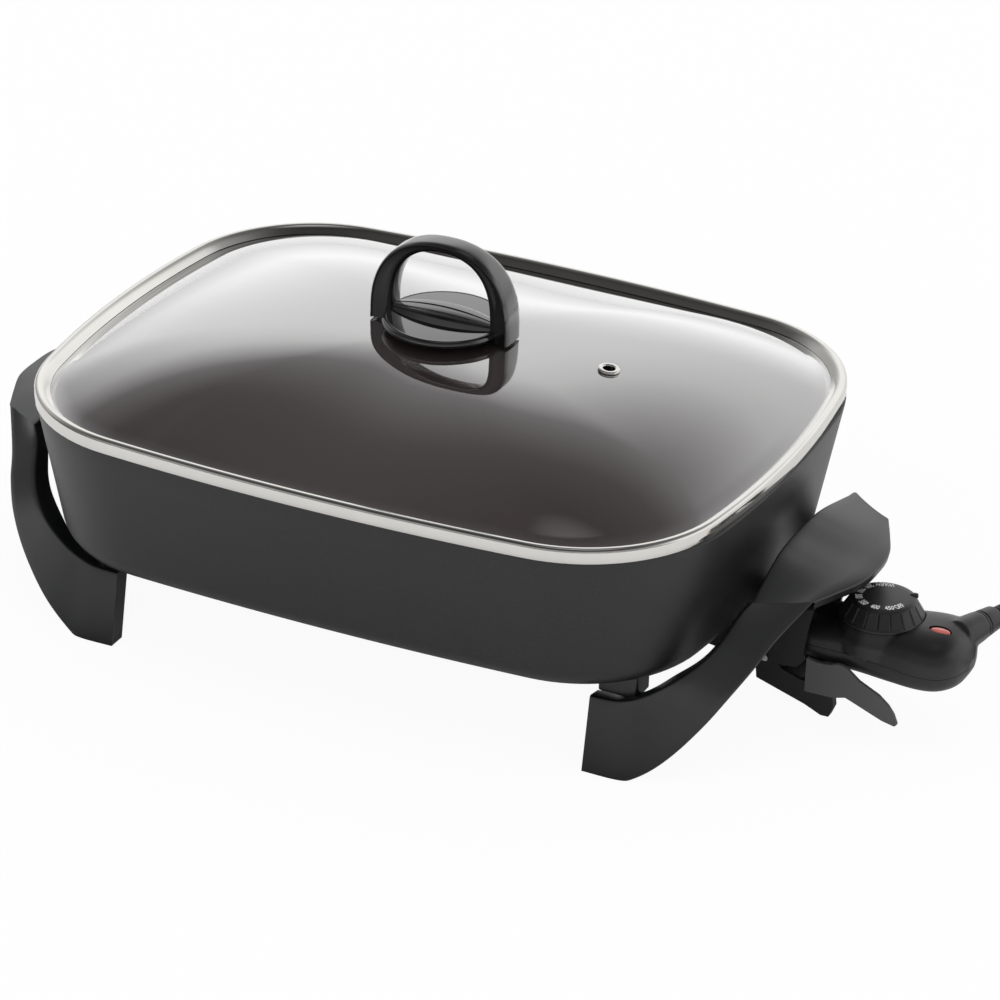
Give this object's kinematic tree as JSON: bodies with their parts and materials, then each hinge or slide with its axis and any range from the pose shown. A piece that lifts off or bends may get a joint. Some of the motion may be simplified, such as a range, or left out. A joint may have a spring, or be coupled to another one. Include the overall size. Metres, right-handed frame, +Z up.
{
  "type": "electric skillet",
  "caption": "Rectangular electric skillet with a lift-off domed glass lid, side grips whose legs are its feet, a plug-in temperature control with a dial, and a lead with its plug.",
  "frame": {"origin": "on the floor, under the middle of the object's bounding box measured without the lead", "axes": "+X along the length, towards the temperature control; +Y towards the side where the lead leaves the control; +Z up"},
  "size_m": [0.6602, 0.3621, 0.2227],
  "materials": {
    "nonstick": "dark charcoal non-stick coating, fine satin texture",
    "element_steel": "dull oxidised steel sheath",
    "ceramic": "unglazed white ceramic",
    "pin_steel": "bright nickel-plated steel",
    "cast_aluminium": "as-cast, satin",
    "phenolic": "black heat-resistant moulding, satin",
    "screw_steel": "zinc-plated steel",
    "guard_plastic": "black heat-resistant moulding, satin",
    "lever_grey": "dark grey moulding, fine matte",
    "rim_steel": "polished stainless steel",
    "lid_glass": "clear tempered glass",
    "knob_gloss": "black, glossy",
    "gasket_rubber": "dark silicone rubber",
    "housing_black": "black moulding, satin",
    "dial_black": "black moulding, satin, white figures",
    "lens_red": "translucent red, clear finish",
    "contact_brass": "spring brass",
    "cord_black": "black flexible jacket, satin"
  },
  "bodies": {
    "base": {"pan": "nonstick", "heating_element": "element_steel", "terminal_insulators": "ceramic", "terminal_pins": "pin_steel", "probe_well": "cast_aluminium", "left_handle": "phenolic", "right_handle": "phenolic", "handle_screws": "screw_steel", "probe_guard": "guard_plastic", "guard_screws": "screw_steel", "lever_pin": "pin_steel", "lever_spring": "pin_steel"},
    "lid": {"lid_rim": "rim_steel", "lid_glass": "lid_glass", "vent_grommet": "rim_steel", "lid_knob": "knob_gloss", "knob_gasket": "gasket_rubber", "knob_washer": "pin_steel", "knob_screw": "screw_steel"},
    "lever": {"lever_shoe": "guard_plastic", "lever_paddle": "lever_grey"},
    "control": {"control_top": "housing_black", "control_bottom": "housing_black", "indicator_lens": "lens_red", "thermostat_block": "ceramic", "probe_stem": "pin_steel", "contact_sleeves": "contact_brass", "shell_screws": "screw_steel", "strain_relief": "cord_black", "cord": "cord_black", "cord_coil": "cord_black", "cord_tie": "cord_black", "plug_body": "cord_black", "plug_blades": "contact_brass"},
    "dial": {"temperature_dial": "dial_black", "dial_shaft": "pin_steel"}
  },
  "joints": [
    {"name": "lid_lift", "type": "slide", "parent": "base", "child": "lid", "axis": [0, 0, 1], "range_m": [0, 0.08]},
    {"name": "control_pull", "type": "slide", "parent": "base", "child": "control", "axis": [1, 0, 0], "range_m": [0, 0.11]},
    {"name": "dial_turn", "type": "hinge", "parent": "control", "child": "dial", "pos_m": [0.2272, 0, 0.067], "axis": [0, 0, 1], "range_deg": [0, 300]},
    {"name": "lever_press", "type": "hinge", "parent": "base", "child": "lever", "pos_m": [0.173, 0, 0.0392], "axis": [0, 1, 0], "range_deg": [0, 10], "stiffness_Nm_per_rad": 0.6, "springref_deg": -8.59}
  ]
}
